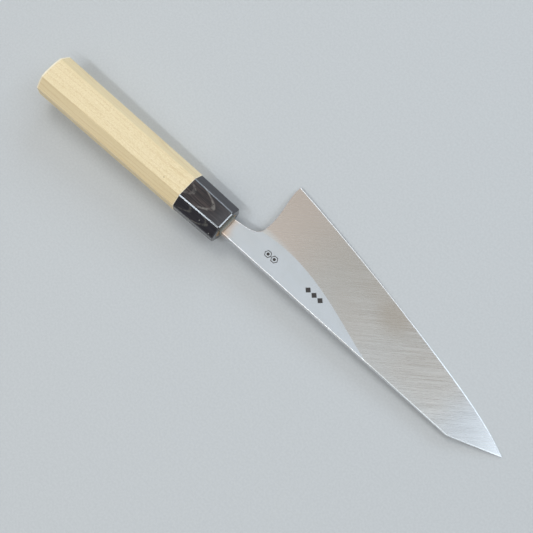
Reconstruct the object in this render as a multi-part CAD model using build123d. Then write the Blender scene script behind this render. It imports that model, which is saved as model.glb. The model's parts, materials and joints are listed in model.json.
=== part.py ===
from build123d import *
import math
import os

# A boning knife for poultry, of Japanese pattern, with a blade of 180 mm and an octagonal handle.
# Millimetres. The knife is drawn in its own axes, and laid on the bench at the very end:
#   x runs from the front face of the ferrule to the tip, so the handle lies at negative x,
#   y runs from the spine side to the edge side, and y = 0 is on the axis of the handle,
#   z is the thickness, z = 0 is the middle plane, and positive z is the left face.

# Handle: a wooden body with an oval tenon, and a ferrule that the tenon fills
handle_length = 136.3
ferrule_length = 29.0
butt_height = 26.4
joint_height = 24.3
front_height = 23.1
butt_thickness = 19.2
joint_thickness = 18.6
front_thickness = 18.4
octagon_chamfer = 5.7
wood_proud = 0.12
wood_arris_radius = 0.5
wood_joint_ease = 0.25
butt_dome_radius = 62.0
butt_ease = 0.5
ferrule_arris_ease = 0.45
ferrule_front_ease = 0.6
tenon_height = 16.2
tenon_thickness = 9.4

# Blade, in blade coordinates: x as above, y from the spine towards the edge
blade_length = 180.0
heel_x = 15.6
heel_height = 51.0
neck_height = 10.9
clip_start = 165.7
clip_drop = 11.7
clip_corner_radius = 3.0
spine_offset = -5.15
blade_cant = 0.6

# Blade sections: flats that taper towards the tip, convex bevels, and a small bevel at the edge
neck_thickness = 5.0
distal_taper = 0.013
bevel_line_height = 17.5
bevel_line_fall = 24.0
bevel_line_fall_start = 34.0
bevel_line_fall_length = 115.0
bevel_line_dip = 1.3
bevel_line_dip_start = 32.0
bevel_line_dip_length = 14.0
bevel_bulge = 0.10
shoulder_half = 0.20
microbevel_width = 0.55
edge_half = 0.02
arris_radius = 0.6

# Tang, the hole that it is bedded in, and the bead of resin at the mouth of the hole
tang_length = 88.0
tang_root_height = 10.7
tang_root_thickness = 4.8
tang_end_height = 6.0
tang_end_thickness = 3.0
hole_length = 91.0
hole_margin = 0.5
bead_height = 12.1
bead_thickness = 8.6
bead_depth = 1.3
bead_radius = 0.5

# Marks on the left face: plain geometric figures, cut shallow
mark_depth = 0.08
mark_height_on_blade = 8.7
hexagon_mark_x = 31.0
hexagon_radius = 2.3
hexagon_line = 0.5
hexagon_dot_radius = 1.0
diamond_mark_x = 63.0
diamond_pitch = 4.4
diamond_half_length = 2.0
diamond_half_height = 1.9

# How it lies: rolled towards the edge and nose down, so that it rests and balances on a front
# corner of the ferrule and on the curve of the edge near the tip
rest_roll = 8.9
rest_pitch = 2.55

tip_x = heel_x + blade_length
neck_start = bead_depth + 0.1
neck_centre = spine_offset + neck_height / 2


def octagon(x, height, thickness):
    """An octagonal face across the handle at x."""
    outline = Plane.YZ.offset(x) * Rectangle(height, thickness)
    return chamfer(outline.vertices(), octagon_chamfer)


def long_edges(solid):
    """The edges that run along the handle."""
    return [edge for edge in solid.edges() if abs(edge.tangent_at(0).X) > 0.9]


def end_edges(solid, x):
    """The edges that lie in the plane across the handle at x."""
    return solid.edges().filter_by_position(Axis.X, x - 0.001, x + 0.001)


def make_tenon():
    return extrude(Plane.YZ * SlotOverall(tenon_height, tenon_thickness), -ferrule_length)


def make_ferrule():
    front = octagon(0, front_height, front_thickness)
    back = octagon(-ferrule_length, joint_height, joint_thickness)
    collar = loft([front, back], ruled=True)
    collar = chamfer(long_edges(collar), ferrule_arris_ease)
    collar = chamfer(end_edges(collar, 0), ferrule_front_ease)
    return collar - make_tenon()


def make_hole():
    """The tapering hole for the neck and the tang."""
    mouth = Plane.YZ * Rectangle(neck_height + 2 * hole_margin, neck_thickness + 2 * hole_margin)
    end = Plane.YZ.offset(-hole_length) * Rectangle(
        tang_end_height + 2 * hole_margin, tang_end_thickness + 2 * hole_margin
    )
    return Pos(0, neck_centre, 0) * loft([mouth, end], ruled=True)


def make_handle_body():
    proud = 2 * wood_proud
    joint = octagon(-ferrule_length, joint_height + proud, joint_thickness + proud)
    butt = octagon(-handle_length, butt_height, butt_thickness)
    body = loft([joint, butt], ruled=True)
    body = fillet(long_edges(body), wood_arris_radius)
    body = chamfer(end_edges(body, -ferrule_length), wood_joint_ease)
    body = body & Pos(butt_dome_radius - handle_length, 0, 0) * Sphere(butt_dome_radius)
    dome = body.faces().sort_by(Axis.X)[0]
    body = fillet(dome.edges(), butt_ease)
    return body + make_tenon() - make_hole()


def edge_curve():
    """The cutting edge from the heel to the tip, in blade coordinates."""
    return Spline(
        (heel_x, heel_height),
        (57.0, 44.8),
        (102.0, 36.7),
        (151.5, 26.1),
        (179.2, 18.4),
        (tip_x, clip_drop),
    )


def choil_curve():
    """From the heel up the back of the blade, and round into the underside of the neck."""
    return Spline(
        (heel_x, heel_height),
        (17.0, 36.0),
        (18.2, 22.0),
        (15.9, 14.9),
        (9.0, 12.1),
        (neck_start, neck_height),
    )


def blade_outline():
    """The side view of the blade and its neck, as a face in blade coordinates."""
    spine = FilletPolyline(
        (neck_start, 0), (clip_start, 0), (tip_x, clip_drop), radius=clip_corner_radius
    )
    neck_end = Line((neck_start, neck_height), (neck_start, 0))
    return make_face([spine, edge_curve(), choil_curve(), neck_end])


def flat_half(x):
    """Half the thickness between the two flats."""
    return (neck_thickness - distal_taper * x) / 2


def bevel_line(x):
    """Distance from the spine to the line where the flat meets the bevel.

    The line dips a little near the heel, and falls in a smooth S to the spine and past it."""
    run = min(max((x - bevel_line_fall_start) / bevel_line_fall_length, 0), 1)
    near_heel = max(bevel_line_dip_start - max(x, heel_x), 0) / bevel_line_dip_length
    fall = bevel_line_fall * (1 - math.cos(math.pi * run)) / 2
    return bevel_line_height - fall - bevel_line_dip * near_heel**2


def flat_stock():
    """A plate of the blade's outline between the two flats, with its arrises rounded."""
    start = 0
    end = tip_x + 1
    corners = [
        (start, flat_half(start)),
        (end, flat_half(end)),
        (end, -flat_half(end)),
        (start, -flat_half(start)),
    ]
    slab = extrude(Plane.XZ * make_face(Polyline(*corners, close=True)), 2 * heel_height, both=True)
    plate = extrude(blade_outline(), neck_thickness, both=True) & slab
    flats = [face for face in plate.faces() if abs(face.normal_at().Z) > 0.9]
    return fillet([edge for face in flats for edge in face.edges()], arris_radius)


def wedge_section(x, edge_y):
    """A section of the wedge between the bevels at x, open upwards beyond the flats."""
    line_y = bevel_line(x)
    half = flat_half(x)
    shoulder_y = edge_y - microbevel_width
    slope = (shoulder_half - edge_half) / microbevel_width
    past_edge = 0.05
    last = (edge_y + past_edge, edge_half - past_edge * slope)

    def bevel_point(share):
        """A point on the convex bevel: 0 is at the flat, and 1 is at the shoulder."""
        y = line_y + share * (shoulder_y - line_y)
        z = half + share * (shoulder_half - half) + 4 * bevel_bulge * share * (1 - share)
        return y, z

    first = bevel_point(-0.2)
    outer = (-30.0, 14.0)
    points = [outer, first, bevel_point(0.4), bevel_point(1), last]

    def side(sign):
        a, b, c, d, e = [(y, sign * z) for y, z in points]
        return [Line(a, b), ThreePointArc(b, c, d), Line(d, e)]

    back = Line((outer[0], outer[1]), (outer[0], -outer[1]))
    front = Line(last, (last[0], -last[1]))
    return Plane.YZ.offset(x) * make_face(side(1) + side(-1) + [back, front])


def bevel_stock():
    """The wedge between the two bevels, through sections at even steps of the edge."""
    curve = edge_curve()
    heel_slope = (curve % 0).Y / (curve % 0).X
    tip_slope = (curve % 1).Y / (curve % 1).X
    lead = heel_x + 2
    tail = 4.0
    steps = 10
    sections = [wedge_section(heel_x - lead, heel_height - lead * heel_slope)]
    for step in range(steps + 1):
        point = curve @ (step / steps)
        sections.append(wedge_section(point.X, point.Y))
    sections.append(wedge_section(tip_x + tail, clip_drop + tail * tip_slope))
    return loft(sections)


def make_tang():
    """The tang, in knife axes, from just inside the neck to its end in the handle."""
    overlap = 2.0
    root = Plane.YZ.offset(neck_start + overlap) * Rectangle(tang_root_height, tang_root_thickness)
    end = Plane.YZ.offset(-tang_length) * Rectangle(tang_end_height, tang_end_thickness)
    return Pos(0, neck_centre, 0) * loft([root, end], ruled=True)


def make_marks():
    """Cutters for the marks: two linked hexagon rings with a hexagon dot in each, and a row of
    three diamonds."""
    outer = RegularPolygon(hexagon_radius, 6)
    ring = outer - RegularPolygon(hexagon_radius - hexagon_line, 6)
    dot = RegularPolygon(hexagon_dot_radius, 6)
    figures = []
    for side in (-1, 1):
        for figure in (ring, dot):
            x = hexagon_mark_x + side * hexagon_radius
            figures.append(Pos(x, mark_height_on_blade) * figure)
    corner_points = [
        (diamond_half_length, 0),
        (0, diamond_half_height),
        (-diamond_half_length, 0),
        (0, -diamond_half_height),
    ]
    diamond = make_face(Polyline(*corner_points, close=True))
    for place in (-1, 0, 1):
        figures.append(Pos(diamond_mark_x + place * diamond_pitch, mark_height_on_blade) * diamond)
    cutters = []
    for figure in figures:
        x = figure.bounding_box().center().X
        tilt = math.degrees(math.atan(distal_taper / 2))
        on_floor = Pos(x, 0, flat_half(x) - mark_depth) * Rot(0, tilt, 0) * Pos(-x, 0, 0)
        cutters.append(on_floor * extrude(figure, 1))
    return cutters


def make_blade():
    blade = flat_stock() & bevel_stock()
    for cutter in make_marks():
        blade = blade - cutter
    placed = Pos(0, spine_offset, 0) * Rot(0, 0, -blade_cant) * blade
    return placed + make_tang()


def make_adhesive(blade):
    """The resin that fills the hole around the tang, and the bead at its mouth."""
    base = Rectangle(bead_height, bead_thickness)
    base = fillet(base.vertices(), 2 * bead_radius)
    bead = extrude(Plane.YZ * base, bead_depth)
    bead = fillet(end_edges(bead, bead_depth), bead_radius)
    return make_hole() + Pos(0, neck_centre, 0) * bead - blade


blade = make_blade()
pieces = {
    "blade": blade,
    "ferrule": make_ferrule(),
    "handle_body": make_handle_body(),
    "tang_adhesive": make_adhesive(blade),
}

# Lay the knife on the bench, and put the origin under the middle of its box
lying = Rot(0, rest_pitch, 0) * Rot(-rest_roll, 0, 0)
whole = Compound(children=[lying * piece for piece in pieces.values()])
box = whole.bounding_box()
to_bench = Pos(-box.center().X, -box.center().Y, -box.min.Z) * lying

os.makedirs("parts", exist_ok=True)
for name, piece in pieces.items():
    export_step(to_bench * piece, f"parts/{name}.step")
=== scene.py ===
import json
import math

import bmesh
import bpy
from mathutils import Matrix, Vector


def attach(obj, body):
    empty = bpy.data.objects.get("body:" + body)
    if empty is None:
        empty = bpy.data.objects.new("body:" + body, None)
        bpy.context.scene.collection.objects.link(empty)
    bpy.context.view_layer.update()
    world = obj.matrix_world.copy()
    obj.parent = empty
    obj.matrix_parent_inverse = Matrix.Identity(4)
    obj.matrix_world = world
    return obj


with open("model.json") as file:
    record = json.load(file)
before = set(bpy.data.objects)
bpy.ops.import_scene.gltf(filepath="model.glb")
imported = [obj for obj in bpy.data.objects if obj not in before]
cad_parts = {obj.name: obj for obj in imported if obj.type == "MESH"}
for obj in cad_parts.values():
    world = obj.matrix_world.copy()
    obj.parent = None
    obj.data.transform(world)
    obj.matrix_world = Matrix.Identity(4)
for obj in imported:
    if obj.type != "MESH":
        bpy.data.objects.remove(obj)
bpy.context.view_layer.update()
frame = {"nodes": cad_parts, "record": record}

NODES = frame["nodes"]
MM = 0.001

# ---------------------------------------------------------------------------------------------
# The knife's own axes, worked out from the two mounts on its flats: x runs to the tip, y to the
# edge, and z out of the left face. The blade's own axes are turned by its small cant.
# ---------------------------------------------------------------------------------------------
MOUNTS = {mount["name"]: mount for mount in frame["record"]["mounts"]}
LEFT, RIGHT = MOUNTS["left_blade_flat"], MOUNTS["right_blade_flat"]
LEFT_POINT, RIGHT_POINT = Vector(LEFT["pos_m"]), Vector(RIGHT["pos_m"])
LEFT_NORMAL = Vector(LEFT["axis"]).normalized()
KNIFE_Z = (LEFT_NORMAL - Vector(RIGHT["axis"])).normalized()
KNIFE_X = Vector((0, 1, 0)).cross(KNIFE_Z).normalized()
KNIFE_Y = KNIFE_Z.cross(KNIFE_X)
BLADE_CANT = math.radians(-0.6)
BLADE_X = math.cos(BLADE_CANT) * KNIFE_X + math.sin(BLADE_CANT) * KNIFE_Y
BLADE_Y = KNIFE_Z.cross(BLADE_X)
MOUNT_X, MOUNT_Y = 47.0, 8.6          # where both mounts are, in the blade's axes, in millimetres
SPINE_OFFSET = -5.15                  # the spine's y in the knife's axes, at the ferrule's face
BLADE_ORIGIN = (LEFT_POINT + RIGHT_POINT) / 2 - MM * (MOUNT_X * BLADE_X + MOUNT_Y * BLADE_Y)
KNIFE_ORIGIN = BLADE_ORIGIN - MM * SPINE_OFFSET * KNIFE_Y


def axes(origin, x, y, z):
    """A placing matrix with these axes."""
    turn = Matrix((x, y, z)).transposed().to_4x4()
    return Matrix.Translation(origin) @ turn


BLADE_AXES = axes(BLADE_ORIGIN, BLADE_X, BLADE_Y, KNIFE_Z)
KNIFE_AXES = axes(KNIFE_ORIGIN, KNIFE_X, KNIFE_Y, KNIFE_Z)


# ---------------------------------------------------------------------------------------------
# Materials
# ---------------------------------------------------------------------------------------------
class Surface:
    """A procedural material, with short calls for its nodes. Its places are millimetres in the
    given axes, so patterns keep their real size."""

    def __init__(self, name, place_axes):
        self.material = bpy.data.materials.new(name)
        self.material.use_nodes = True
        self.tree = self.material.node_tree
        self.shader = self.tree.nodes["Principled BSDF"]
        coordinates = self.tree.nodes.new("ShaderNodeTexCoord")
        placing = self.tree.nodes.new("ShaderNodeMapping")
        placing.vector_type = "TEXTURE"
        self.tree.links.new(coordinates.outputs["Object"], placing.inputs["Vector"])
        placing.inputs["Location"].default_value = place_axes.to_translation()
        placing.inputs["Rotation"].default_value = place_axes.to_euler()
        placing.inputs["Scale"].default_value = (MM, MM, MM)
        self.place = placing.outputs["Vector"]

    def put(self, node, key, value):
        """Links a socket to an input, or sets the input to a value."""
        socket = node.inputs[key]
        if isinstance(value, bpy.types.NodeSocket):
            self.tree.links.new(value, socket)
        elif isinstance(value, tuple) and len(value) == 3 and socket.type == "RGBA":
            socket.default_value = (*value, 1)
        else:
            socket.default_value = value

    def set(self, **values):
        """Inputs of the shader, named with _ for a space."""
        for key, value in values.items():
            self.put(self.shader, key.replace("_", " "), value)

    def maths(self, operation, *values):
        node = self.tree.nodes.new("ShaderNodeMath")
        node.operation = operation
        for index, value in enumerate(values):
            self.put(node, index, value)
        return node.outputs[0]

    def add(self, a, b):
        return self.maths("ADD", a, b)

    def subtract(self, a, b):
        return self.maths("SUBTRACT", a, b)

    def times(self, a, b):
        return self.maths("MULTIPLY", a, b)

    def vector(self, operation, *values):
        node = self.tree.nodes.new("ShaderNodeVectorMath")
        node.operation = operation
        for index, value in enumerate(values):
            self.put(node, index, value)
        gives_number = operation in ("LENGTH", "DOT_PRODUCT", "DISTANCE")
        return node.outputs["Value" if gives_number else "Vector"]

    def distance_from(self, x, y, z):
        return self.vector("DISTANCE", self.place, (x, y, z))

    def true_normal(self):
        return self.tree.nodes.new("ShaderNodeNewGeometry").outputs["True Normal"]

    def parts(self):
        """The x, y and z of the place."""
        node = self.tree.nodes.new("ShaderNodeSeparateXYZ")
        self.put(node, 0, self.place)
        return node.outputs

    def stretched(self, scale, turn=0.0, shift=(0, 0, 0)):
        """The place, turned about z by -turn degrees and then scaled and shifted."""
        turned = self.tree.nodes.new("ShaderNodeMapping")
        self.put(turned, "Vector", self.place)
        turned.inputs["Rotation"].default_value = (0, 0, math.radians(-turn))
        scaled = self.tree.nodes.new("ShaderNodeMapping")
        self.put(scaled, "Vector", turned.outputs[0])
        scaled.inputs["Scale"].default_value = scale
        scaled.inputs["Location"].default_value = shift
        return scaled.outputs[0]

    def noise(self, vector, detail, roughness=0.5):
        node = self.tree.nodes.new("ShaderNodeTexNoise")
        self.put(node, "Vector", vector)
        node.inputs["Scale"].default_value = 1.0
        node.inputs["Detail"].default_value = detail
        node.inputs["Roughness"].default_value = roughness
        return node.outputs[0]

    def cells(self, vector):
        """Distance to the nearest point of a scatter."""
        node = self.tree.nodes.new("ShaderNodeTexVoronoi")
        self.put(node, "Vector", vector)
        node.inputs["Scale"].default_value = 1.0
        return node.outputs["Distance"]

    def span(self, value, low, high, start=0.0, end=1.0):
        """From start to end, smoothly, as the value goes from low to high, and held beyond."""
        node = self.tree.nodes.new("ShaderNodeMapRange")
        node.interpolation_type = "SMOOTHSTEP"
        limits = {"From Min": low, "From Max": high, "To Min": start, "To Max": end}
        for key, number in limits.items():
            node.inputs[key].default_value = number
        self.put(node, "Value", value)
        return node.outputs[0]

    def mix(self, share, a, b):
        """The colour that goes from a to b as the share goes from 0 to 1."""
        node = self.tree.nodes.new("ShaderNodeMix")
        node.data_type = "RGBA"
        self.put(node, 0, share)
        self.put(node, 6, a)
        self.put(node, 7, b)
        return node.outputs[2]

    def layered(self, colour, *layers):
        """The colour with each layer, a share and a colour, laid over it in turn."""
        for share, over in layers:
            colour = self.mix(share, colour, over)
        return colour

    def bump(self, height, distance_mm, strength):
        node = self.tree.nodes.new("ShaderNodeBump")
        node.inputs["Strength"].default_value = strength
        node.inputs["Distance"].default_value = distance_mm * MM
        self.put(node, "Height", height)
        self.put(self.shader, "Normal", node.outputs[0])


def blade_steel():
    """Satin steel: smooth cool flats, and hazy bevels with a painted reflection that goes from warm
    at the heel to cool at the tip, with slanting stone scratches that show more towards the tip.
    The edges carry a painted highlight, and a painted peach reflection lies on the neck by the
    ferrule."""
    bevel_line_y = 17.2                 # by the choil, where the bevel blends into the flat
    blend_width = 3.5
    clip_start_x, clip_slope = 165.7, 0.391
    # a painted highlight along the spine and the clip, where the steel's edge is sharp
    spine_highlight_width, spine_highlight_fade = 0.45, 0.4
    brown_spot = (104, 30, 1.5)
    # the colour of the painted highlight on the arrises
    edge_highlight = (0.82, 0.83, 0.85)
    arris_roughness = 0.12              # more than the faces beside it
    s = Surface("blade_steel", BLADE_AXES)
    x, y, _ = s.parts()
    slope = s.vector("LENGTH", s.vector("CROSS_PRODUCT", s.true_normal(), tuple(KNIFE_Z)))
    bevel = s.span(slope, 0.012, 0.024)
    arris = s.span(slope, 0.12, 0.25)

    stone = s.noise(s.stretched((0.03, 2.0, 0.05), turn=38), detail=3, roughness=0.65)
    stone = s.times(s.subtract(stone, 0.5), s.span(x, 15, 190, 0.13, 1.25))
    lengthwise = s.noise(s.stretched((0.03, 1.1, 0.03)), detail=4, roughness=0.6)
    cloud = s.noise(s.stretched((0.09, 0.12, 0.09)), detail=3)
    haze = s.noise(s.stretched((0.025, 0.06, 0.06), shift=(1, 4, 2)), detail=1)

    flat_colour = s.layered(
        (0.60, 0.622, 0.635),
        (s.span(lengthwise, 0.3, 0.7), (0.657, 0.672, 0.69)),         # fine lines along it
        (s.span(x, 20, 70, 0.0, 0.65), (0.628, 0.647, 0.663)),        # plainer further forward
        (s.span(cloud, 0.3, 0.7, 0, 0.7), (0.66, 0.68, 0.71)),
    )

    past_line = s.subtract(y, bevel_line_y)
    blended = s.times(s.span(past_line, 0.0, blend_width, 0.8, 0.0), s.span(x, 22, 48, 1.0, 0.0))
    clip_y = s.times(s.maths("MAXIMUM", s.subtract(x, clip_start_x), 0.0), clip_slope)
    from_back = s.subtract(y, clip_y)
    spine_highlight = s.span(from_back, spine_highlight_width, spine_highlight_width + spine_highlight_fade, 1.0, 0.0)
    spine_highlight = s.times(spine_highlight, s.span(x, 150, 175, 1.0, 0.5))
    from_brown = s.distance_from(*brown_spot)
    bevel_colour = s.layered(
        (0.552, 0.542, 0.527),
        (s.span(stone, -0.2, 0.2), (0.655, 0.645, 0.63)),             # scratches
        (s.span(haze, 0.4, 0.65, 0, 0.4), (0.60, 0.565, 0.53)),
        (s.span(x, 22, 68, 0.75, 0.0), (0.71, 0.63, 0.585)),          # painted warm reflection at the heel
        (s.span(x, 148, 170, 0.0, 0.6), (0.605, 0.635, 0.675)),       # painted cool reflection at the front
        (s.span(x, 172, 186, 0.0, 0.5), (0.55, 0.56, 0.57)),          # darker at the tip
        (s.span(from_brown, 3, 15, 0.65, 0.0), (0.53, 0.487, 0.437)),
        (blended, (0.73, 0.745, 0.76)),
        # painted highlight along the spine and the clip
        (spine_highlight, (0.96, 0.98, 0.99)),
    )

    cutting_edge_highlight = s.mix(s.span(x, 85, 155), (0.61, 0.56, 0.53), edge_highlight)
    ragged_x = s.add(x, s.span(cloud, 0.2, 0.8, -1.5, 1.5))
    colour = s.layered(
        flat_colour,
        (bevel, bevel_colour),
        # painted highlight on the arrises and the cutting edge, warmer towards the heel
        (arris, s.mix(s.span(y, 5, 8), edge_highlight, cutting_edge_highlight)),
        (s.span(ragged_x, 0.5, 8.0, 0.9, 0.0), (0.76, 0.58, 0.45)),   # painted peach reflection on the neck by the ferrule
    )

    flat_rough = s.span(lengthwise, 0.2, 0.8, 0.20, 0.26)
    bevel_rough = s.span(stone, -0.25, 0.25, 0.22, 0.32)
    rough = s.add(s.times(bevel, s.subtract(bevel_rough, flat_rough)), flat_rough)
    rough = s.add(rough, s.times(arris, arris_roughness))
    s.set(Base_Color=colour, Metallic=1.0, Roughness=rough)
    s.bump(s.add(s.times(stone, bevel), s.times(lengthwise, 0.2)), 0.006, 0.3)
    return s.material


def pale_wood():
    """Pale, straight-grained wood, waxed, with faint growth lines, flecks and short pores. A
    painted highlight lies on its rounded edges and the butt's rim, and the end grain in front of
    the ferrule is brown."""
    growth_pitch, growth_drift = 2.6, 7.0
    growth_y, growth_z = 0.80, 0.60     # the direction in which the layers follow each other
    speck_place = (-42.5, -4.6, 9.3)
    joint_x = -29.0                     # where the wood meets the ferrule
    dome_centre_x, dome_radius = -74.3, 62.0
    s = Surface("pale_wood", KNIFE_AXES)
    x, y, z = s.parts()
    drift = s.noise(s.stretched((0.012, 0.16, 0.16)), detail=2)
    bands = s.noise(s.stretched((0.014, 0.75, 0.75)), detail=4, roughness=0.6)
    fibre = s.noise(s.stretched((0.09, 5.0, 5.0)), detail=3, roughness=0.6)
    flecks = s.noise(s.stretched((0.9, 2.7, 2.7)), detail=2, roughness=0.7)
    middle = s.span(s.maths("ABSOLUTE", y), 5.0, 8.5, 1.0, 0.3)
    pores = s.cells(s.stretched((0.22, 1.9, 1.9)))
    depth = s.add(s.times(y, growth_y), s.times(z, growth_z))
    depth = s.add(depth, s.times(drift, growth_drift))
    growth = s.maths("SINE", s.times(depth, 2 * math.pi / growth_pitch))

    normal = s.true_normal()
    sideways = s.maths("ABSOLUTE", s.vector("DOT_PRODUCT", normal, tuple(KNIFE_Y)))
    backwards = s.vector("DOT_PRODUCT", normal, tuple(-KNIFE_X))
    # painted highlight on the long arrises and on the wood's front edge at the joint
    arris = s.times(s.span(sideways, 0.76, 0.84, 0.0, 0.6), s.span(sideways, 0.93, 0.98, 1.0, 0.0))
    arris = s.maths("MAXIMUM", arris, s.span(x, joint_x - 0.5, joint_x - 0.2, 0.0, 0.6))
    arris = s.times(arris, s.span(x, joint_x + 0.1, joint_x + 0.4, 1.0, 0.0))
    # painted highlight on the rim of the butt's dome
    from_dome_centre = s.distance_from(dome_centre_x, 0, 0)
    rim = s.times(
        s.span(from_dome_centre, dome_radius - 1.2, dome_radius - 0.7),
        s.span(backwards, 0.86, 0.97, 0.8, 0.0),
    )
    rim = s.times(rim, s.span(x, -110, -100, 1.0, 0.0))

    colour = s.layered(
        (0.86, 0.715, 0.455),
        (s.span(bands, 0.3, 0.7), (0.80, 0.645, 0.385)),
        (s.span(drift, 0.35, 0.65, 0, 0.35), (0.87, 0.74, 0.50)),
        (s.span(growth, 0.5, 1.0, 0, 0.45), (0.69, 0.51, 0.27)),      # growth lines
        (s.span(fibre, 0.35, 0.75, 0, 0.22), (0.68, 0.52, 0.30)),
        (s.times(s.span(flecks, 0.44, 0.68, 0, 0.8), middle), (0.93, 0.79, 0.56)),
        (s.times(s.span(flecks, 0.44, 0.28, 0, 0.8), middle), (0.73, 0.56, 0.31)),
        (s.span(pores, 0.05, 0.16, 0.35, 0.0), (0.55, 0.40, 0.22)),
        (s.span(s.distance_from(*speck_place), 0.2, 0.55, 0.7, 0.0), (0.25, 0.17, 0.10)),
        # painted highlight on the arrises
        (arris, (0.99, 0.91, 0.76)),
        (s.span(x, -2.5, -0.8, 0.0, 0.85), (0.40, 0.25, 0.13)),       # end grain
        # painted highlight on the butt's rim
        (rim, (0.97, 0.89, 0.73)),
    )
    s.set(Base_Color=colour, Roughness=s.span(bands, 0.2, 0.8, 0.42, 0.52), Specular_IOR_Level=0.4)
    s.bump(s.subtract(fibre, s.span(pores, 0.05, 0.16, 0.6, 0.0)), 0.03, 0.6)
    return s.material


def dark_wood():
    """Nearly black wood under a hard gloss, with brown streaks and pale nested arcs of grain."""
    top_apex, top_pitch, top_middle, top_bend = -10.3, 14.1, 0.3, 0.29
    side_apex, side_pitch, side_middle, side_bend = -7.3, 11.9, -8.5, 0.9
    wander_length = 1.6
    pale_spots = ((-11.7, -9.2, 6.4), (-3.2, -11.0, 4.4))
    s = Surface("dark_wood", KNIFE_AXES)
    x, y, _ = s.parts()
    streaks = s.noise(s.stretched((0.06, 1.9, 1.9)), detail=3, roughness=0.6)
    patches = s.noise(s.stretched((0.12, 0.30, 0.30), shift=(3, 1, 7)), detail=2)
    wander = s.noise(s.stretched((0.12, 0.3, 0.3)), detail=1)
    broken = s.noise(s.stretched((0.5, 0.6, 0.6), shift=(5, 2, 9)), detail=3, roughness=0.7)
    haze = s.noise(s.stretched((0.22, 1.5, 1.5), shift=(2, 8, 4)), detail=3, roughness=0.6)
    shown = s.span(broken, 0.38, 0.62, 0.1, 1.0)

    def along_arcs(middle, bend):
        """The x of the apex of the arc through this place."""
        across = s.subtract(y, middle)
        along = s.add(x, s.times(s.times(across, across), bend))
        return s.add(along, s.times(s.subtract(wander, 0.5), wander_length))

    def arcs(along, apex, pitch):
        """Pale arcs at even steps from this apex, strongest near it."""
        wave = s.times(s.subtract(along, apex), 2 * math.pi / pitch)
        seen = s.times(shown, s.span(along, apex, apex + 10, 1.0, 0.2))
        seen = s.times(seen, s.span(along, apex - 14, apex - 4, 0.5, 1.0))
        return s.times(s.span(s.maths("COSINE", wave), 0.74, 1.0), seen)

    top = along_arcs(top_middle, top_bend)
    top_colour = s.layered(
        (0.009, 0.009, 0.013),
        (s.span(streaks, 0.36, 0.66), (0.059, 0.043, 0.043)),
        (s.span(patches, 0.48, 0.7, 0, 0.6), (0.016, 0.014, 0.016)),
        (s.span(top, -11.0, -7.0, 0, 0.6), (0.026, 0.025, 0.031)),
        (s.times(s.span(haze, 0.55, 0.72, 0, 0.5), s.span(top, -9.0, -3.0)), (0.115, 0.108, 0.108)),
        (arcs(top, top_apex, top_pitch), (0.19, 0.175, 0.165)),
    )
    side = along_arcs(side_middle, side_bend)
    near_spots = [s.span(s.distance_from(*spot), 0.25, 0.5, 1.0, 0.0) for spot in pale_spots]
    side_colour = s.layered(
        (0.007, 0.007, 0.014),
        (s.span(streaks, 0.40, 0.70), (0.026, 0.024, 0.034)),
        (arcs(side, side_apex, side_pitch), (0.12, 0.117, 0.107)),
        *((near_spot, (0.30, 0.30, 0.29)) for near_spot in near_spots),
    )
    s.set(
        Base_Color=s.mix(s.span(s.maths("ABSOLUTE", y), 6.2, 7.2), top_colour, side_colour),
        Roughness=0.38,
        Specular_IOR_Level=0.2,
        Coat_Weight=1.0,
        Coat_Roughness=0.06,
    )
    s.bump(streaks, 0.01, 0.3)
    return s.material


def resin():
    """Pale grey-green resin, glossy, with a little dust in it."""
    s = Surface("resin", KNIFE_AXES)
    dust = s.noise(s.stretched((2.2, 2.2, 2.2)), detail=3)
    colour = s.mix(s.span(dust, 0.35, 0.7), (0.17, 0.18, 0.155), (0.28, 0.285, 0.25))
    s.set(Base_Color=colour, Roughness=s.span(dust, 0.3, 0.7, 0.12, 0.24))
    s.bump(dust, 0.03, 0.3)
    return s.material


def mark_fill():
    """The dark oxide in the marks."""
    s = Surface("mark_fill", BLADE_AXES)
    grain = s.noise(s.stretched((3.0, 3.0, 3.0)), detail=3)
    colour = s.mix(s.span(grain, 0.3, 0.7), (0.022, 0.019, 0.019), (0.050, 0.042, 0.040))
    s.set(Base_Color=colour, Roughness=s.span(grain, 0.3, 0.7, 0.45, 0.65))
    s.bump(grain, 0.02, 0.5)
    return s.material


def assign(node, material):
    NODES[node].data.materials.clear()
    NODES[node].data.materials.append(material)


assign("blade", blade_steel())
assign("ferrule", dark_wood())
assign("handle_body", pale_wood())
assign("tang_adhesive", resin())

# ---------------------------------------------------------------------------------------------
# The dark fill of the marks: thin plates on the floors of the shallow pockets in the left flat
# ---------------------------------------------------------------------------------------------
POCKET_DEPTH = 0.08
FILL_TOP = 0.03           # how far the top of the fill lies under the flat
FILL_LIFT = 0.002         # a hair above the pocket's floor
SIDE_GAP = 0.015
FLAT_X = (BLADE_X - BLADE_X.dot(LEFT_NORMAL) * LEFT_NORMAL).normalized()
FLAT_Y = LEFT_NORMAL.cross(FLAT_X)
MARK_Y = 8.7 - MOUNT_Y    # the marks' middles, in millimetres from the mount
HEXAGON_X, DIAMOND_X = 31.0 - MOUNT_X, 63.0 - MOUNT_X
HEXAGON_RADIUS, HEXAGON_LINE, HEXAGON_DOT_RADIUS = 2.3, 0.5, 1.0
DIAMOND_PITCH, DIAMOND_HALF_LENGTH, DIAMOND_HALF_HEIGHT = 4.4, 2.0, 1.9
DIAMOND_CORNER_GAP = 2 * SIDE_GAP


def on_flat(x, y, depth):
    """A point this many millimetres from the left mount, along the flat and into it."""
    return LEFT_POINT + MM * (x * FLAT_X + y * FLAT_Y - depth * LEFT_NORMAL)


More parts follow.
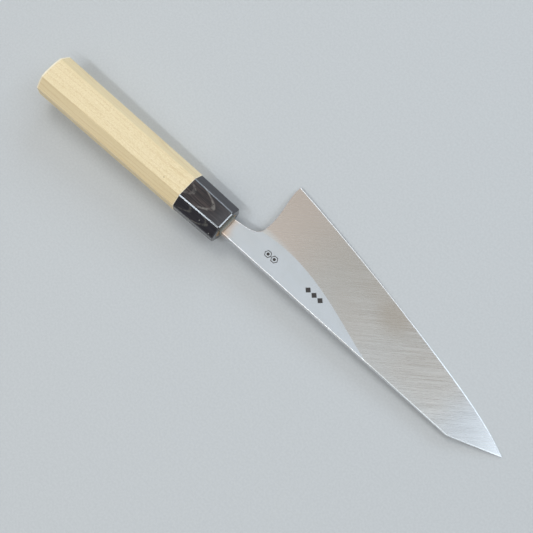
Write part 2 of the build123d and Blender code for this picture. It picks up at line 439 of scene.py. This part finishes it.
def fill_plate(bm, outer, inner=None):
    """Adds a closed plate with this outline, and with this hole if there is one."""
    loops = []
    for outline in (outer, inner):
        if outline is not None:
            for depth in (FILL_TOP, POCKET_DEPTH - FILL_LIFT):
                loops.append([bm.verts.new(on_flat(x, y, depth)) for x, y in outline])
    count = len(outer)
    for index in range(count):
        after = (index + 1) % count
        top, floor = loops[0], loops[1]
        bm.faces.new((top[index], floor[index], floor[after], top[after]))
        if inner is not None:
            in_top, in_floor = loops[2], loops[3]
            bm.faces.new((in_top[after], in_floor[after], in_floor[index], in_top[index]))
            bm.faces.new((top[index], top[after], in_top[after], in_top[index]))
            bm.faces.new((floor[after], floor[index], in_floor[index], in_floor[after]))
    if inner is None:
        bm.faces.new(loops[0])
        bm.faces.new(reversed(loops[1]))


def hexagon(centre, radius):
    """A hexagon's corners, on the flat, around a centre at this x."""
    turns = [math.radians(60 * corner) for corner in range(6)]
    return [(centre + radius * math.cos(turn), MARK_Y + radius * math.sin(turn)) for turn in turns]


def mark_piece(name, plates, finish):
    """A piece made of plates, each given by its outline and its hole, if it has one."""
    bm = bmesh.new()
    for outlines in plates:
        fill_plate(bm, *outlines)
    bmesh.ops.recalc_face_normals(bm, faces=bm.faces)
    mesh = bpy.data.meshes.new(name)
    bm.to_mesh(mesh)
    bm.free()
    piece = bpy.data.objects.new(name, mesh)
    bpy.context.scene.collection.objects.link(piece)
    mesh.materials.append(finish)
    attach(piece, "root")


def diamond(centre):
    """A diamond's corners, on the flat, around a centre at this x."""
    length = DIAMOND_HALF_LENGTH - DIAMOND_CORNER_GAP
    height = DIAMOND_HALF_HEIGHT - DIAMOND_CORNER_GAP
    corners = [(length, 0), (0, height), (-length, 0), (0, -height)]
    return [(centre + x, MARK_Y + y) for x, y in corners]


hexagons = []
inner_radius = HEXAGON_RADIUS - HEXAGON_LINE + SIDE_GAP
for side in (-1, 1):
    centre = HEXAGON_X + side * HEXAGON_RADIUS
    hexagons.append((hexagon(centre, HEXAGON_RADIUS - SIDE_GAP), hexagon(centre, inner_radius)))
    hexagons.append((hexagon(centre, HEXAGON_DOT_RADIUS - SIDE_GAP),))
diamonds = [(diamond(DIAMOND_X + place * DIAMOND_PITCH),) for place in (-1, 0, 1)]
fill = mark_fill()
mark_piece("hexagon_mark_fill", hexagons, fill)
mark_piece("diamond_mark_fill", diamonds, fill)

# ---------------------------------------------------------------------------------------------
# Stage, in metres: a plain pale bench, soft studio light, and the camera
# ---------------------------------------------------------------------------------------------
BENCH_SIZE = 3.0
WORLD_COLOUR, WORLD_STRENGTH = (1.0, 0.98, 0.93, 1), 0.29
PANEL_HEIGHT = 1.2


def bench_paint():
    """Pale grey matt paint, with a fine speckle."""
    s = Surface("bench_paint", Matrix.Identity(4))
    speckle = s.noise(s.stretched((0.8, 0.8, 0.8)), detail=3)
    colour = s.mix(s.span(speckle, 0.3, 0.7), (0.565, 0.585, 0.61), (0.60, 0.62, 0.645))
    s.set(Base_Color=colour, Roughness=0.8)
    return s.material


half = BENCH_SIZE / 2
bench_mesh = bpy.data.meshes.new("bench")
bench_corners = [(-half, -half, 0), (half, -half, 0), (half, half, 0), (-half, half, 0)]
bench_mesh.from_pydata(bench_corners, [], [(0, 1, 2, 3)])
bench_mesh.materials.append(bench_paint())
bench = bpy.data.objects.new("bench", bench_mesh)
bpy.context.scene.collection.objects.link(bench)

world = bpy.data.worlds.new("studio")
bpy.context.scene.world = world
world.use_nodes = True
background = world.node_tree.nodes["Background"]
background.inputs["Color"].default_value = WORLD_COLOUR
background.inputs["Strength"].default_value = WORLD_STRENGTH


def area_light(name, place, size, radiance, colour):
    """A soft light at a place, facing down, of this size and brightness."""
    data = bpy.data.lights.new(name, "AREA")
    data.shape = "RECTANGLE"
    data.size, data.size_y = size
    data.energy = radiance * math.pi * size[0] * size[1]
    data.color = colour
    lamp = bpy.data.objects.new(name, data)
    bpy.context.scene.collection.objects.link(lamp)
    lamp.location = place
    return lamp


def panel(name, x_span, y_span, radiance, colour):
    """A soft light over the bench, from these x and y to those."""
    place = (sum(x_span) / 2, sum(y_span) / 2, PANEL_HEIGHT)
    size = (x_span[1] - x_span[0], y_span[1] - y_span[0])
    area_light(name, place, size, radiance, colour)


def strip(name, place, target, size, radiance, colour):
    """A soft light at a place, facing a target, for the bright line along an edge."""
    lamp = area_light(name, place, size, radiance, colour)
    lamp.rotation_euler = (Vector(target) - Vector(place)).to_track_quat("-Z", "Y").to_euler()


# All but the key and the window are named after the part of the knife that mirrors them
COOL, NEUTRAL, WARM = (0.80, 0.90, 1.0), (1.0, 0.98, 0.90), (1.0, 0.90, 0.76)
ORANGE, ICE, WHITE = (1.0, 0.62, 0.34), (0.72, 0.87, 1.0), (0.90, 0.94, 0.95)
panel("flats_panel", (-0.24, 0.42), (0.14, 0.58), 0.74, COOL)
panel("bevel_panel", (-0.6, 0.38), (0.58, 1.2), 0.28, WARM)
panel("heel_panel", (-0.5, -0.02), (0.66, 1.2), 0.40, ORANGE)
panel("tip_panel", (0.50, 1.1), (0.14, 1.2), 2.05, COOL)
panel("key_panel", (-1.0, -0.45), (0.15, 0.7), 4.7, NEUTRAL)
panel("window_panel", (-0.8, 0.6), (-1.3, -0.45), 1.0, NEUTRAL)
strip("arris_strip", (-0.29, -0.50, 1.08), (-0.045, -0.016, 0.01), (0.2, 0.11), 18.0, COOL)
strip("spine_strip", (0.08, -0.50, 1.08), (0.06, -0.016, 0.01), (0.54, 0.07), 17.5, WHITE)
strip("rim_strip", (-0.455, 1.70, 0.71), (-0.045, 0, 0.01), (0.5, 0.20), 2.6, COOL)
strip("edge_strip", (0.10, 1.70, 0.96), (0, 0, 0), (2.0, 0.68), 2.6, ICE)
strip("front_strip", (1.508, 0.39, 0.202), (-0.03, -0.014, 0.018), (0.4, 0.12), 15.0, COOL)

CAMERA_PLACE = (0.0892, -0.0513, 0.5005)
CAMERA_TURN = (9.49, 4.87, 41.91)      # degrees
SENSOR_WIDTH, FOCAL_LENGTH = 36, 60.8  # millimetres
camera_data = bpy.data.cameras.new("camera")
camera_data.sensor_width = SENSOR_WIDTH
camera_data.lens = FOCAL_LENGTH
camera = bpy.data.objects.new("camera", camera_data)
bpy.context.scene.collection.objects.link(camera)
camera.location = CAMERA_PLACE
camera.rotation_euler = [math.radians(angle) for angle in CAMERA_TURN]
bpy.context.scene.camera = camera
bpy.context.scene.view_settings.view_transform = "Standard"
